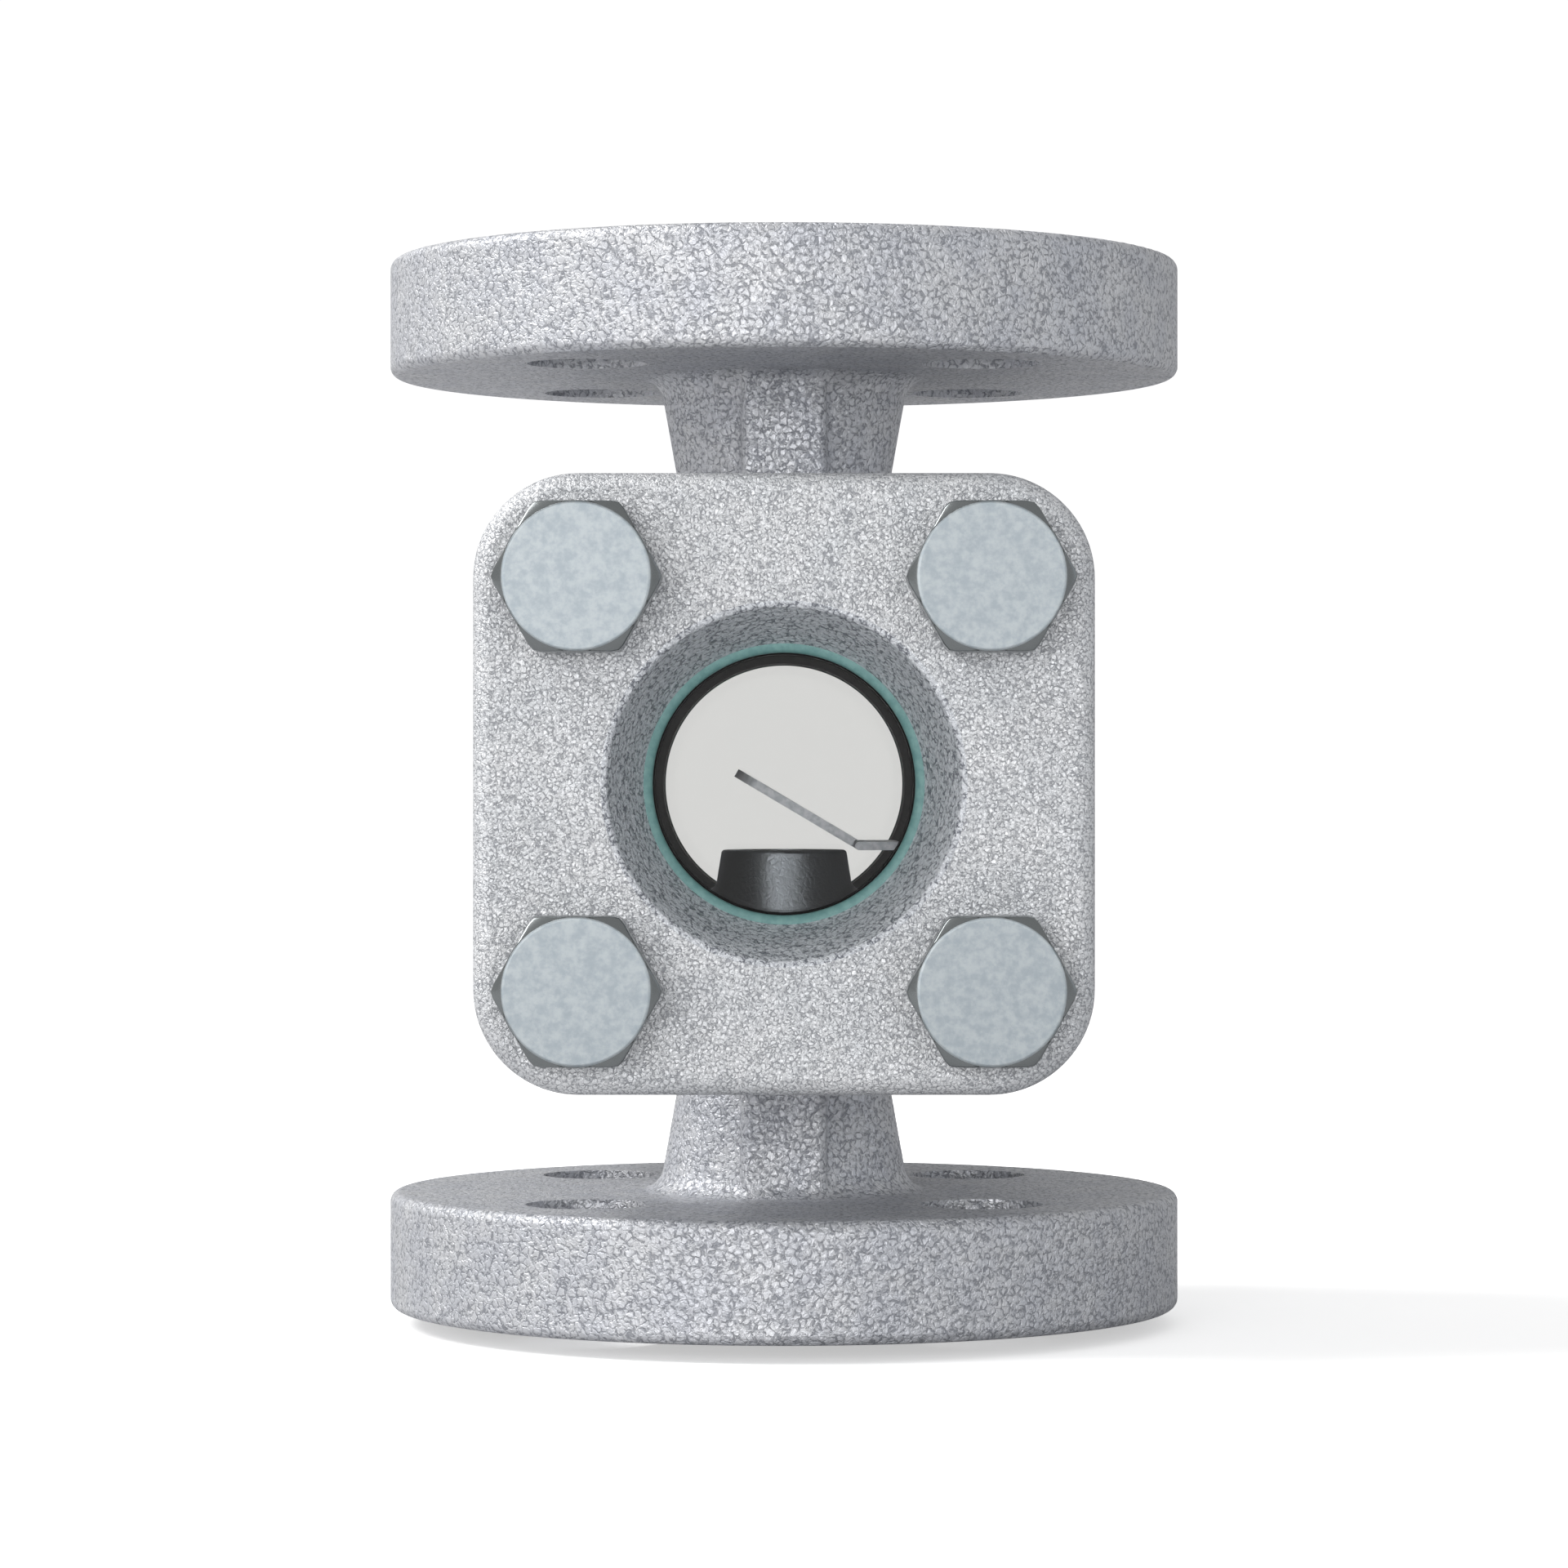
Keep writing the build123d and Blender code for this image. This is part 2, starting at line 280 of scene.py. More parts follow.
@dataclass
class SandGrain:
    """The relief of sand-cast skin under paint, as a shader node group."""

    fine_detail: float = 2.5
    fine_roughness: float = 0.55
    fine_warp: float = 0.6
    swell_detail: float = 1.0
    swell_share: float = 0.8
    crevice_warp: float = 1.4
    crevice_scale: float = 0.8
    crevice_depth: float = 0.25
    crevice_from: float = 0.20
    crevice_to: float = 0.02
    unbroken_from: float = 0.60
    unbroken_to: float = 0.42
    tree: bpy.types.NodeTree = field(init=False)

    def __post_init__(self) -> None:
        """Builds the group."""
        self.tree, given, result = new_group(
            "sand_grain",
            {"Vector": "NodeSocketVector", "Size": "NodeSocketFloat", "Swell": "NodeSocketFloat"},
            {"Height": "NodeSocketFloat", "Pits": "NodeSocketFloat"},
        )
        bench = NodeBench(self.tree)
        where, size = given.outputs["Vector"], given.outputs["Size"]
        scale = bench.math("DIVIDE", 1.0, size)
        fine = bench.noise(where, scale, self.fine_detail, self.fine_roughness, self.fine_warp)
        swell_scale = bench.math("MULTIPLY", scale, given.outputs["Swell"])
        swell = bench.noise(where, swell_scale, self.swell_detail)
        shift = bench.add("ShaderNodeVectorMath", operation="SCALE")
        bench.feed(fine.outputs["Color"], shift.inputs[0])
        bench.feed(bench.math("MULTIPLY", size, self.crevice_warp), shift.inputs["Scale"])
        bent = bench.add("ShaderNodeVectorMath", operation="ADD")
        bench.feed(where, bent.inputs[0])
        bench.feed(shift.outputs["Vector"], bent.inputs[1])
        cells = bench.add("ShaderNodeTexVoronoi", feature="DISTANCE_TO_EDGE")
        bench.feed(bent.outputs["Vector"], cells.inputs["Vector"])
        bench.feed(bench.math("MULTIPLY", scale, self.crevice_scale), cells.inputs["Scale"])
        crevice = bench.band(cells.outputs["Distance"], self.crevice_from, self.crevice_to)
        unbroken = bench.band(fine.outputs["Fac"], self.unbroken_from, self.unbroken_to)
        lumps = bench.math("MULTIPLY_ADD", swell.outputs["Fac"], self.swell_share, fine.outputs["Fac"])
        height = bench.math("MULTIPLY_ADD", crevice, -self.crevice_depth, lumps)
        bench.feed(height, result.inputs["Height"])
        # Pits marks the crevices, where the finishes paint shade into the colour and add roughness.
        bench.feed(bench.math("MULTIPLY", crevice, unbroken), result.inputs["Pits"])

    def place(self, bench: NodeBench, where: object, size: float, swell: float) -> bpy.types.Node:
        """Puts the group in a material.

        Args:
            bench: The material's bench.
            where: The coordinates' socket.
            size: How large one grain is, in metres.
            swell: How fine the slow swell is next to the grain.

        Returns:
            The group's node.
        """
        node = bench.add("ShaderNodeGroup", node_tree=self.tree)
        bench.feed(where, node.inputs["Vector"])
        bench.feed(size, node.inputs["Size"])
        bench.feed(swell, node.inputs["Swell"])
        return node


@dataclass
class Mottle:
    """Soft clouds in a finish, as a shader node group."""

    detail: float = 4.0
    roughness: float = 0.65
    cloud_from: float = 0.32
    cloud_to: float = 0.68
    tree: bpy.types.NodeTree = field(init=False)

    def __post_init__(self) -> None:
        """Builds the group."""
        self.tree, given, result = new_group(
            "mottle",
            {
                "Vector": "NodeSocketVector",
                "Size": "NodeSocketFloat",
                "Base": "NodeSocketColor",
                "Cloud": "NodeSocketColor",
            },
            {"Color": "NodeSocketColor"},
        )
        bench = NodeBench(self.tree)
        scale = bench.math("DIVIDE", 1.0, given.outputs["Size"])
        clouds = bench.noise(given.outputs["Vector"], scale, self.detail, self.roughness)
        share = bench.band(clouds.outputs["Fac"], self.cloud_from, self.cloud_to)
        bench.feed(bench.mix(share, given.outputs["Base"], given.outputs["Cloud"]), result.inputs["Color"])

    def place(
        self, bench: NodeBench, where: object, size: float, base: Colour, cloud: Colour
    ) -> bpy.types.NodeSocket:
        """Puts the group in a material.

        Args:
            bench: The material's bench.
            where: The coordinates' socket.
            size: How large one cloud is, in metres.
            base: The colour between the clouds.
            cloud: The colour of the clouds.

        Returns:
            The mottled colour's socket.
        """
        node = bench.add("ShaderNodeGroup", node_tree=self.tree)
        bench.feed(where, node.inputs["Vector"])
        bench.feed(size, node.inputs["Size"])
        bench.feed(base, node.inputs["Base"])
        bench.feed(cloud, node.inputs["Cloud"])
        return node.outputs["Color"]


@dataclass(frozen=True)
class Effects:
    """The node groups that the finishes share."""

    grain: SandGrain
    mottle: Mottle


@dataclass(frozen=True)
class FineSkin:
    """The fine unevenness of a smooth finish."""

    size: float
    depth: float
    detail: float = 2.0
    roughness: float = 0.5

    def height(self, bench: NodeBench, where: object) -> bpy.types.NodeSocket:
        """Adds the noise that raises the skin.

        Args:
            bench: The material's bench.
            where: The coordinates' socket.

        Returns:
            The height's socket, 0 to 1.
        """
        return bench.noise(where, 1.0 / self.size, self.detail, self.roughness).outputs["Fac"]


class Coat:
    """One material under way: its bench, its shader and its coordinates."""

    def __init__(self, name: str) -> None:
        """Starts a material with a Principled shader.

        Args:
            name: The material's name.
        """
        self.material = bpy.data.materials.new(name)
        self.material.use_nodes = True
        self.bench = NodeBench(self.material.node_tree)
        self.shader = self.material.node_tree.nodes["Principled BSDF"]
        self.where = self.bench.add("ShaderNodeTexCoord").outputs["Object"]

    def set(self, **values: object) -> None:
        """Sets inputs of the shader, with _ for a space in a name.

        Args:
            values: Constants or sockets by input name.
        """
        for name, value in values.items():
            self.bench.feed(value, self.shader.inputs[name.replace("_", " ")])

    def fed(self, name: str) -> bpy.types.NodeSocket:
        """The socket that feeds an input of the shader.

        Args:
            name: The input's name.

        Returns:
            The socket at the other end of its link.
        """
        return self.shader.inputs[name].links[0].from_socket

    def off_axis(self) -> bpy.types.NodeSocket:
        """How far a point is from the axis through both windows.

        Returns:
            The distance's socket, in metres.
        """
        split = self.bench.add("ShaderNodeSeparateXYZ")
        self.bench.feed(self.where, split.inputs[0])
        x, _, z = split.outputs
        square = self.bench.math("MULTIPLY_ADD", z, z, self.bench.math("MULTIPLY", x, x))
        return self.bench.math("SQRT", square)

    def depth(self) -> bpy.types.NodeSocket:
        """How far a point is from the plane midway between the windows.

        Returns:
            The distance's socket, in metres.
        """
        split = self.bench.add("ShaderNodeSeparateXYZ")
        self.bench.feed(self.where, split.inputs[0])
        return self.bench.math("ABSOLUTE", split.outputs["Y"])

    def bump(self, height: object, depth: float) -> None:
        """Adds relief to the normal.

        Args:
            height: The height's socket, 0 to 1.
            depth: How deep the relief is, in metres.
        """
        node = self.bench.add("ShaderNodeBump")
        node.inputs["Distance"].default_value = depth
        self.bench.feed(height, node.inputs["Height"])
        self.set(Normal=node.outputs["Normal"])

    def roughen(self, skin: FineSkin, mask: object = 1.0) -> None:
        """Adds a fine skin to the normal.

        Args:
            skin: The skin.
            mask: Where it shows, 0 to 1.
        """
        height = self.bench.math("MULTIPLY", skin.height(self.bench, self.where), mask)
        self.bump(height, skin.depth)


@dataclass(frozen=True)
class CastPaint:
    """Light aluminium paint over rough sand-cast iron, with painted shade in the grain's crevices."""

    name: str
    grain_size: float = 0.42 * MM
    grain_depth: float = 0.22 * MM
    swell: float = 0.35
    light: Colour = tone(223, 224, 226)
    dark: Colour = tone(214, 216, 219)
    # Painted shade: the grey that darkens the grain's crevices, in place of the shade their relief would
    # cast.
    crevice_shade: Colour = tone(84, 88, 98)
    crevice_shade_share: float = 0.62
    cloud_size: float = 6.0 * MM
    metal: float = 0.5
    roughness: float = 0.42
    pit_roughness: float = 0.12

    def build(self, effects: Effects) -> Coat:
        """Builds the material.

        Args:
            effects: The shared node groups.

        Returns:
            The coat, for more nodes.
        """
        coat = Coat(self.name)
        bench = coat.bench
        grain = effects.grain.place(bench, coat.where, self.grain_size, self.swell)
        paint = effects.mottle.place(bench, coat.where, self.cloud_size, self.light, self.dark)
        pits = grain.outputs["Pits"]
        # Painted shade: the crevices are darkened in the colour, and the same mask roughens them.
        shade_in_crevices = bench.math("MULTIPLY", pits, self.crevice_shade_share)
        coat.set(Base_Color=bench.mix(shade_in_crevices, paint, self.crevice_shade), Metallic=self.metal)
        coat.set(Roughness=bench.math("MULTIPLY_ADD", pits, self.pit_roughness, self.roughness))
        coat.bump(grain.outputs["Height"], self.grain_depth)
        return coat


@dataclass(frozen=True)
class CoverPaint(CastPaint):
    """The paint of a cover, glossier and with coarser grain in the conical window, where its tones are
    painted light and shade: retoned for the light that falls into the window.
    """

    cone_radius: float = 20.6 * MM
    # Painted light: the cone's own tones, set apart from the cover's paint to stand in for the light that
    # falls into the window.
    cone_painted_light_pale: Colour = tone(228, 231, 235)
    cone_painted_light_grey: Colour = tone(196, 199, 205)
    cone_metal: float = 0.25
    # Painted shade: a larger share of darkened crevices than on the cover.
    cone_crevice_shade: float = 0.85
    cone_grain: float = 0.7 * MM
    cone_cloud: float = 0.5 * MM
    cone_roughness: float = 0.3

    def build(self, effects: Effects) -> Coat:
        """Builds the material.

        Args:
            effects: The shared node groups.

        Returns:
            The coat.
        """
        coat = CastPaint.build(self, effects)
        bench = coat.bench
        inside = bench.math("LESS_THAN", coat.off_axis(), self.cone_radius)
        # Painted light and shade: inside the window the cover's colour gives way to the cone's retoned
        # clouds, darkened in the crevices.
        clouds = effects.mottle.place(bench, coat.where, self.cone_cloud, self.cone_painted_light_pale, self.cone_painted_light_grey)
        grain = effects.grain.place(bench, coat.where, self.cone_grain, self.swell)
        share = bench.math("MULTIPLY", grain.outputs["Pits"], self.cone_crevice_shade)
        cone_painted_light_and_shade = bench.mix(share, clouds, self.crevice_shade)
        coat.set(Base_Color=bench.mix(inside, coat.fed("Base Color"), cone_painted_light_and_shade))
        coat.set(Roughness=bench.mix_value(inside, coat.fed("Roughness"), self.cone_roughness))
        coat.set(Metallic=bench.mix_value(inside, self.metal, self.cone_metal))
        return coat


@dataclass(frozen=True)
class BodyPaint(CastPaint):
    """The paint of the body, with bare iron in the chamber and near-black painted shade on the lips beside
    the gaskets.
    """

    chamber_reach: float = 33.0 * MM
    chamber_radius: float = 23.3 * MM
    lip_radius: float = 16.3 * MM
    lip_start: float = 19.6 * MM
    iron: Colour = tone(136, 141, 147)
    # Painted shade: near-black on the lips, deep behind the glass where shade falls.
    painted_shade_lip: Colour = tone(16, 18, 20)
    iron_metal: float = 1.0
    lip_metal: float = 0.0
    iron_roughness: float = 0.45
    iron_relief: float = 0.2
    lip_roughness: float = 0.9

    def build(self, effects: Effects) -> Coat:
        """Builds the material.

        Args:
            effects: The shared node groups.

        Returns:
            The coat.
        """
        coat = CastPaint.build(self, effects)
        bench = coat.bench
        across, along = coat.off_axis(), coat.depth()
        inside = bench.math(
            "MULTIPLY",
            bench.math("LESS_THAN", across, self.chamber_radius),
            bench.math("LESS_THAN", along, self.chamber_reach),
        )
        # Where the painted shade goes: the lips next to the gaskets, which are also made matt and not
        # metallic.
        painted_shade_lip = bench.math(
            "MULTIPLY",
            bench.math("LESS_THAN", across, self.lip_radius),
            bench.math("GREATER_THAN", along, self.lip_start),
        )
        coat.set(Base_Color=bench.mix(inside, coat.fed("Base Color"), bench.mix(painted_shade_lip, self.iron, self.painted_shade_lip)))
        metal = bench.mix_value(painted_shade_lip, self.iron_metal, self.lip_metal)
        coat.set(Metallic=bench.mix_value(inside, self.metal, metal))
        rough = bench.mix_value(painted_shade_lip, self.iron_roughness, self.lip_roughness)
        coat.set(Roughness=bench.mix_value(inside, coat.fed("Roughness"), rough))
        relief = coat.fed("Normal").node
        bench.feed(bench.mix_value(inside, 1.0, self.iron_relief), relief.inputs["Strength"])
        return coat


@dataclass(frozen=True)
class ZincPlate:
    """Zinc plate on the cover bolts: matt on the upset face, bright on the turned chamfer."""

    name: str = "zinc_plate"
    light: Colour = tone(156, 162, 165)
    dark: Colour = tone(139, 147, 152)
    turned: Colour = tone(132, 136, 137)
    face_depth: float = 52.35 * MM
    cloud_size: float = 1.1 * MM
    metal: float = 0.85
    turned_roughness: float = 0.24
    face_roughness: float = 0.44
    skin: FineSkin = FineSkin(size=0.45 * MM, depth=0.012 * MM, detail=3.0, roughness=0.6)

    def build(self, effects: Effects) -> Coat:
        """Builds the material.

        Args:
            effects: The shared node groups.

        Returns:
            The coat.
        """
        coat = Coat(self.name)
        bench = coat.bench
        face = bench.math("GREATER_THAN", coat.depth(), self.face_depth)
        clouds = effects.mottle.place(bench, coat.where, self.cloud_size, self.light, self.dark)
        coat.set(Base_Color=bench.mix(face, self.turned, clouds), Metallic=self.metal)
        coat.set(Roughness=bench.mix_value(face, self.turned_roughness, self.face_roughness))
        coat.roughen(self.skin, face)
        return coat


@dataclass(frozen=True)
class StainlessSheet:
    """Matt stainless sheet of the flap, its bracket, pin and screws."""

    name: str = "stainless_sheet"
    light: Colour = tone(214, 217, 222)
    dark: Colour = tone(178, 183, 190)
    cloud_size: float = 0.7 * MM
    metal: float = 0.35
    roughness: float = 0.5
    skin: FineSkin = FineSkin(size=0.3 * MM, depth=0.006 * MM)

    def build(self, effects: Effects) -> Coat:
        """Builds the material.

        Args:
            effects: The shared node groups.

        Returns:
            The coat.
        """
        coat = Coat(self.name)
        tint = effects.mottle.place(coat.bench, coat.where, self.cloud_size, self.light, self.dark)
        coat.set(Base_Color=tint, Metallic=self.metal, Roughness=self.roughness)
        coat.roughen(self.skin)
        return coat


@dataclass(frozen=True)
class GasketSheet:
    """A pressed fibre or rubber ring."""

    name: str
    light: Colour
    dark: Colour
    roughness: float
    gloss: float = 0.5
    cloud_size: float = 1.2 * MM
    skin: FineSkin = FineSkin(size=0.25 * MM, depth=0.01 * MM)

    def build(self, effects: Effects) -> Coat:
        """Builds the material.

        Args:
            effects: The shared node groups.

        Returns:
            The coat.
        """
        coat = Coat(self.name)
        tint = effects.mottle.place(coat.bench, coat.where, self.cloud_size, self.light, self.dark)
        coat.set(Base_Color=tint, Roughness=self.roughness, Specular_IOR_Level=self.gloss)
        coat.roughen(self.skin)
        return coat


@dataclass(frozen=True)
class SightGlass:
    """Clear toughened glass with a faint grey tint."""

    name: str = "toughened_glass"
    tint: Colour = tone(231, 231, 230)
    refraction: float = 1.35

    def build(self) -> Coat:
        """Builds the material.

        Returns:
            The coat.
        """
        coat = Coat(self.name)
        coat.set(Base_Color=self.tint, Roughness=0.0, IOR=self.refraction, Transmission_Weight=1.0)
        return coat


class Finishes:
    """Every finish of the sight glass, built once."""

    def __init__(self) -> None:
        """Builds the shared groups and the materials."""
        effects = Effects(grain=SandGrain(), mottle=Mottle())
        body = BodyPaint(
            name="body_paint",
            grain_size=0.7 * MM,
            grain_depth=0.26 * MM,
            light=tone(208, 209, 212),
            dark=tone(196, 198, 204),
        )
        green = GasketSheet(
            name="green_fibre", light=tone(116, 156, 153), dark=tone(98, 140, 138), roughness=0.55
        )
        black = GasketSheet(
            name="black_seal", light=tone(20, 22, 24), dark=tone(12, 13, 15), roughness=0.6, gloss=0.1
        )
        self.body = body.build(effects).material
        self.cover = CoverPaint(name="cover_paint").build(effects).material
        self.zinc = ZincPlate().build(effects).material
        self.sheet = StainlessSheet().build(effects).material
        self.green_gasket = green.build(effects).material
        self.black_gasket = black.build(effects).material
        self.glass = SightGlass().build().material

    @staticmethod
    def dress(node: str, material: bpy.types.Material) -> None:
        """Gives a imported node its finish.

        Args:
            node: The node's name.
            material: The finish.
        """
        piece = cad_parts[node]
        piece.data.materials.clear()
        piece.data.materials.append(material)
        log.info("dressed %s in %s", node, material.name)


def end_shape(
    shape: bmesh.types.BMesh, name: str, sharp_angle: float, material: bpy.types.Material
) -> bpy.types.Object:
    """Ends a shape and puts it in the scene as a smooth piece.

    Args:
        shape: The shape, which is freed.
        name: The piece's name.
        sharp_angle: The angle past which its edges stay sharp.
        material: Its finish.

    Returns:
        The piece.
    """
    bmesh.ops.recalc_face_normals(shape, faces=shape.faces)
    mesh = bpy.data.meshes.new(name)
    shape.to_mesh(mesh)
    shape.free()
    mesh.shade_smooth()
    mesh.set_sharp_from_angle(angle=sharp_angle)
    mesh.materials.append(material)
    piece = bpy.data.objects.new(name, mesh)
    bpy.context.scene.collection.objects.link(piece)
    return piece


@dataclass
class Housing:
    """The body, its covers, glasses and gaskets."""

    finishes: Finishes
    ring_bore: float = 15.0 * MM
    ring_round: float = 0.9 * MM
    ring_round_steps: int = 6
    ring_steps: int = 144
    ring_sharp: float = math.radians(30)

    def build(self) -> None:
        """Dresses the fixed pieces around both windows."""
        self.finishes.dress("body", self.finishes.body)
        for window in Window:
            side = window.value
            self.finishes.dress(f"{side}_cover", self.finishes.cover)
            self.finishes.dress(f"{side}_glass", self.finishes.glass)
            self.ring(window, f"{side}_outer_gasket")
            self.finishes.dress(f"{side}_inner_gasket", self.finishes.black_gasket)

    def ring(self, window: Window, node: str) -> None:
        """Spins the green ring, its inner edge rounded where the cover squeezes it out.

        Args:
            window: The window that the ring is at.
            node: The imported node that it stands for.
        """
        low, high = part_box(node)
        outer = (high[0] - low[0]) / 2
        thickness = high[1] - low[1]
        middle = window.outward * (abs(low[1]) + abs(high[1])) / 2
        # A unit square, stretched to the section of the ring.
        shape = bmesh.new()
        bmesh.ops.create_grid(shape, x_segments=1, y_segments=1, size=0.5)
        for vert in shape.verts:
            reach = self.ring_bore if vert.co.x < 0 else outer
            vert.co = (reach, middle + vert.co.y * thickness, 0.0)
        bore = [edge for edge in shape.edges if all(vert.co.x < outer - thickness for vert in edge.verts)]
        corner = [vert for vert in bore[0].verts if abs(vert.co.y) > abs(middle)]
        bmesh.ops.bevel(
            shape, geom=corner, offset=self.ring_round, segments=self.ring_round_steps, profile=0.5,
            affect="VERTICES", material=-1,
        )
        outline = shape.edges[:]
        bmesh.ops.delete(shape, geom=shape.faces[:], context="FACES_ONLY")
        bmesh.ops.spin(
            shape, geom=shape.verts[:] + outline, cent=(0, 0, 0), axis=(0, 1, 0), angle=math.tau,
            steps=self.ring_steps, use_merge=True,
        )
        piece = end_shape(shape, f"{window.value}_green_ring", self.ring_sharp, self.finishes.green_gasket)
        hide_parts(node)
        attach(piece, "housing")
        log.info("pressed %s", piece.name)


@dataclass
class CoverBolts:
    """The M10 cover bolts of both windows, with rounded head edges."""

    finishes: Finishes
    per_window: int = 4
    sides: int = 72
    across_flats: float = 16.8 * MM
    corner_reach: float = 9.5 * MM
    face_radius: float = 8.25 * MM
    face_inset: float = 0.25 * MM
    head_height: float = 6.4 * MM
    chamfer_slope: float = math.tan(math.radians(30))
    shank_radius: float = 5.0 * MM
    shank_length: float = 25.0 * MM
    tip_chamfer: float = 1.0 * MM
    edge_round: float = 0.20 * MM
    edge_round_steps: int = 3
    corner_step: float = 60.0
    sharp_angle: float = math.radians(25)

    def build(self) -> None:
        """Builds the four bolts of each window."""
        for window in Window:
            for number in range(1, self.per_window + 1):
                self.bolt(window, f"{window.value}_bolt_{number}")

    def hex_reach(self, angle: float) -> float:
        """How far the hexagon reaches at an angle, its corners slightly rounded off.

        Args:
            angle: The angle about the bolt's axis, from a corner.

        Returns:
            The distance from the axis.
        """
        turn = math.radians(math.degrees(angle) % self.corner_step - self.corner_step / 2)
        return min(self.across_flats / 2 / math.cos(turn), self.corner_reach)

    def next_ring(
        self,
        shape: bmesh.types.BMesh,
        ring: list[bmesh.types.BMEdge],
        place: Callable[[float], tuple[float, float]],
    ) -> list[bmesh.types.BMEdge]:
        """Extrudes the open ring of a turned shape and moves the new ring to its place.

        Args:
            shape: The shape under way.
            ring: The edges of its open ring.
            place: Gives the reach and the height of the new ring at an angle.

        Returns:
            The edges of the new ring.
        """
        made = bmesh.ops.extrude_edge_only(shape, edges=ring)["geom"]
        fresh = {item for item in made if isinstance(item, bmesh.types.BMVert)}
        for vert in fresh:
            angle = math.atan2(vert.co.y, vert.co.x)
            reach, height = place(angle)
            vert.co = (reach * math.cos(angle), reach * math.sin(angle), height)
        edges = (item for item in made if isinstance(item, bmesh.types.BMEdge))
        return [edge for edge in edges if fresh.issuperset(edge.verts)]

    def bolt(self, window: Window, node: str) -> None:
        """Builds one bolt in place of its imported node.

        Args:
            window: The window that the bolt is at.
            node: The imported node.
        """
        shape = bmesh.new()
        bmesh.ops.create_circle(
            shape, cap_ends=True, segments=self.sides, radius=self.face_radius - self.face_inset,
            matrix=Matrix.Translation((0, 0, self.head_height)),
        )
        rim = self.next_ring(shape, shape.edges[:], lambda angle: (self.face_radius, self.head_height))
        crown = self.next_ring(shape, rim, lambda angle: (self.hex_reach(angle), self.crown_height(angle)))
        ring = self.next_ring(shape, crown, lambda angle: (self.hex_reach(angle), 0.0))
        tip = self.tip_chamfer
        for reach, height in (
            (self.shank_radius, 0.0),
            (self.shank_radius, tip - self.shank_length),
            (self.shank_radius - tip, -self.shank_length),
        ):
            ring = self.next_ring(shape, ring, lambda angle: (reach, height))
        bmesh.ops.contextual_create(shape, geom=ring)
        bmesh.ops.bevel(
            shape, geom=rim + crown, offset=self.edge_round, segments=self.edge_round_steps, profile=0.5,
            affect="EDGES", material=-1,
        )
        low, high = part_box(node)
        seat = low[1] + self.head_height if window is Window.FRONT else high[1] - self.head_height
        lean = Matrix.Rotation(math.radians(-90) * window.outward, 4, "X")
        home = Matrix.Translation(((low[0] + high[0]) / 2, seat, (low[2] + high[2]) / 2))
        bmesh.ops.transform(shape, matrix=home @ lean, verts=shape.verts)
        name = node.replace("_bolt_", "_cover_bolt_")
        piece = end_shape(shape, name, self.sharp_angle, self.finishes.zinc)
        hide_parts(node)
        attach(piece, "housing")
        log.info("turned %s", piece.name)

    def crown_height(self, angle: float) -> float:
        """How high the head's chamfer ends at an angle.

        Args:
            angle: The angle about the bolt's axis, from a corner.

        Returns:
            The height above the head's seat.
        """
        return self.head_height - (self.hex_reach(angle) - self.face_radius) * self.chamfer_slope


@dataclass
class FlapHinge:
    """The flap with its bracket, pin and screws."""

    finishes: Finishes

    def build(self) -> None:
        """Dresses the sheet pieces in the chamber."""
        for node in ("flap_bracket", "hinge_pin", "flap", "bracket_screw_1", "bracket_screw_2"):
            self.finishes.dress(node, self.finishes.sheet)


@dataclass(frozen=True)
class Lamp:
    """One square soft light that faces the object."""

    name: str
    place: tuple[float, float, float]
    power: float
    width: float = 0.8
    colour: tuple[float, float, float] = (1.0, 1.0, 1.0)

    def hang(self) -> None:
        """Hangs the light."""
        data = bpy.data.lights.new(self.name, "AREA")
        data.shape = "SQUARE"
        data.size = self.width
        data.energy = self.power
        data.color = self.colour
        lamp = bpy.data.objects.new(self.name, data)
        lamp.location = self.place
        lamp.rotation_euler = Vector(self.place).to_track_quat("Z", "Y").to_euler()
        bpy.context.scene.collection.objects.link(lamp)
        log.info("hung the %s light", self.name)


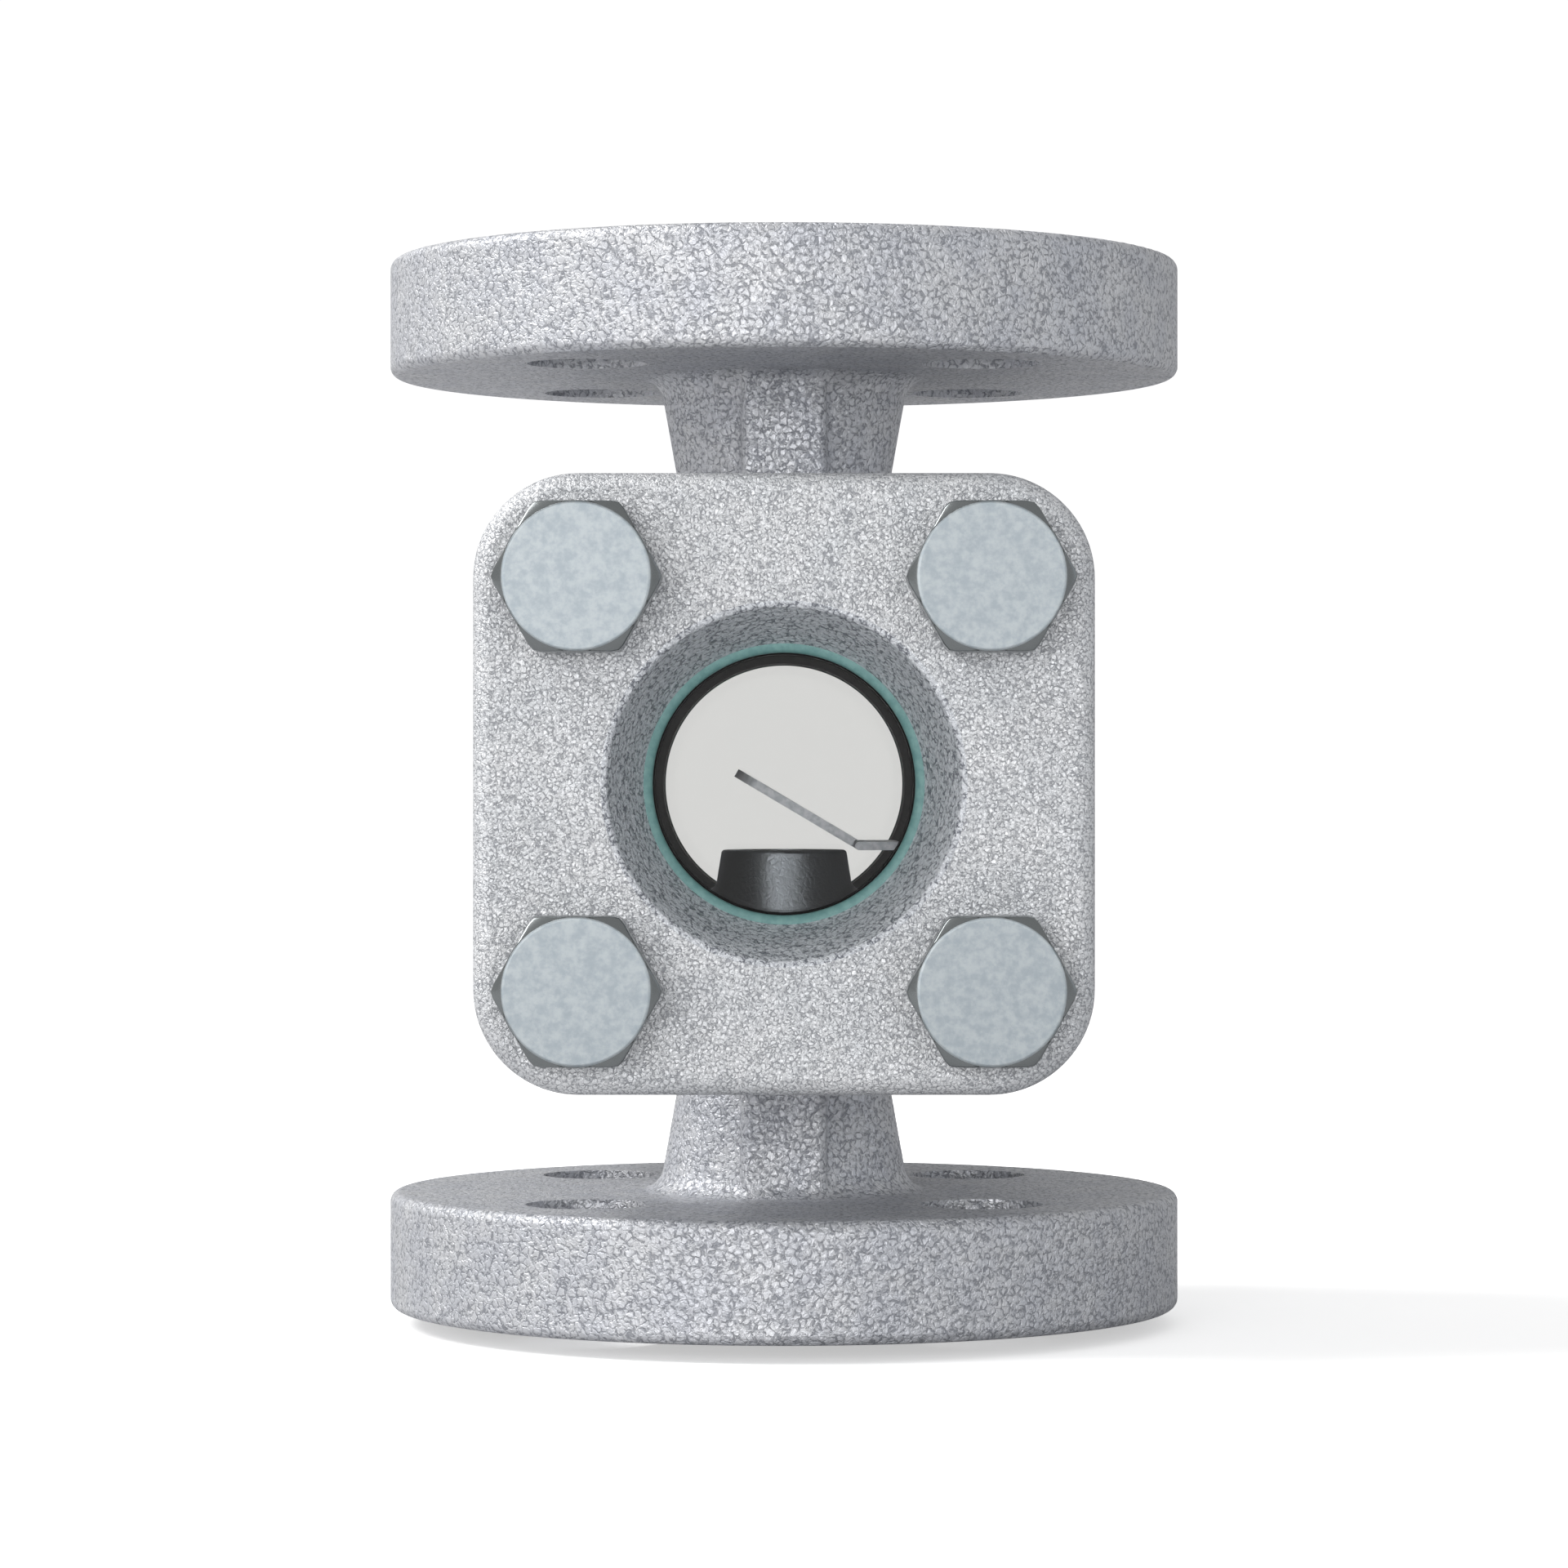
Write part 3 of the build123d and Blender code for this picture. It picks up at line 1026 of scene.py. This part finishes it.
@dataclass
class Studio:
    """A plain pale floor, soft lights, a white surround and the camera."""

    view_distance: float = 627.9 * MM
    focal_pixels: float = 6352.0
    picture_pixels: float = 1920.0
    sensor_width: float = 36.0
    nearest: float = 0.01
    farthest: float = 50.0
    floor_radius: float = 1.5
    floor_sides: int = 64
    floor_roughness: float = 0.9
    floor_colour: Colour = (0.9, 0.9, 0.9, 1.0)
    floor_bounce: Colour = (0.55, 0.55, 0.56, 1.0)
    floor_glow: float = 0.55
    surround_light: float = 0.46
    surround_seen: float = 0.59
    lamps: tuple[Lamp, ...] = (
        Lamp("key", (-1.1, 0.0, 1.12), power=22.5, colour=(1.0, 0.995, 0.985)),
        Lamp("ring_left", (-0.36, -1.5, 0.18), power=4.9, width=0.48),
        Lamp("ring_right", (0.36, -1.5, 0.18), power=2.3, width=0.48),
        Lamp("front_left", (-0.8, -1.4, 0.15), power=4.3),
        Lamp("front_right", (0.8, -1.4, 0.15), power=1.8, colour=(0.92, 0.96, 1.0)),
        Lamp("right", (1.6, -0.1, 0.25), power=1.1, colour=(0.78, 0.87, 1.0)),
        Lamp("back", (-1.1, 1.0, 0.5), power=0.8),
    )

    def build(self) -> None:
        """Builds the studio."""
        self.floor()
        self.surround()
        for lamp in self.lamps:
            lamp.hang()
        self.camera()
        bpy.context.scene.view_settings.view_transform = "Standard"

    def floor(self) -> None:
        """Lays the floor under the lower pipe face."""
        lowest = cad_box[0][2]
        shape = bmesh.new()
        bmesh.ops.create_circle(shape, cap_ends=True, segments=self.floor_sides, radius=self.floor_radius)
        bmesh.ops.translate(shape, verts=shape.verts, vec=(0, 0, lowest))
        mesh = bpy.data.meshes.new("floor")
        shape.to_mesh(mesh)
        shape.free()
        piece = bpy.data.objects.new("floor", mesh)
        bpy.context.scene.collection.objects.link(piece)
        coat = Coat("pale_floor")
        seen = self.seen(coat.bench)
        coat.set(Base_Color=coat.bench.mix(seen, self.floor_bounce, self.floor_colour))
        coat.set(Roughness=self.floor_roughness, Emission_Color=self.floor_colour)
        coat.set(Emission_Strength=coat.bench.math("MULTIPLY", seen, self.floor_glow))
        mesh.materials.append(coat.material)
        log.info("laid the floor")

    @staticmethod
    def seen(bench: NodeBench) -> bpy.types.NodeSocket:
        """Tells the rays that show a surface from those that only light others.

        Args:
            bench: The bench of the tree.

        Returns:
            A socket that is 1 in the picture and through glass, and 0 otherwise.
        """
        path = bench.add("ShaderNodeLightPath")
        return bench.math("MAXIMUM", path.outputs["Is Camera Ray"], path.outputs["Is Transmission Ray"])

    def surround(self) -> None:
        """Fills the surround: white in the picture and through glass, softer as a light."""
        world = bpy.data.worlds.new("studio")
        bpy.context.scene.world = world
        world.use_nodes = True
        bench = NodeBench(world.node_tree)
        background = world.node_tree.nodes["Background"]
        background.inputs["Color"].default_value = (1.0, 1.0, 1.0, 1.0)
        strength = bench.math("MULTIPLY_ADD", self.seen(bench), self.surround_seen, self.surround_light)
        bench.feed(strength, background.inputs["Strength"])

    def camera(self) -> None:
        """Puts the camera straight in front of the window, level with the chamber."""
        data = bpy.data.cameras.new("camera")
        data.sensor_width = self.sensor_width
        data.lens = self.sensor_width * self.focal_pixels / self.picture_pixels
        data.clip_start = self.nearest
        data.clip_end = self.farthest
        camera = bpy.data.objects.new("camera", data)
        camera.location = (0.0, -self.view_distance, 0.0)
        camera.rotation_euler = (math.radians(90), 0.0, 0.0)
        bpy.context.scene.collection.objects.link(camera)
        bpy.context.scene.camera = camera


def main() -> None:
    """Builds the dressed sight glass and its studio."""
    logging.basicConfig(level=logging.INFO, format="%(name)s: %(message)s")
    finishes = Finishes()
    Housing(finishes).build()
    CoverBolts(finishes).build()
    FlapHinge(finishes).build()
    Studio().build()


if __name__ == "__main__":
    main()
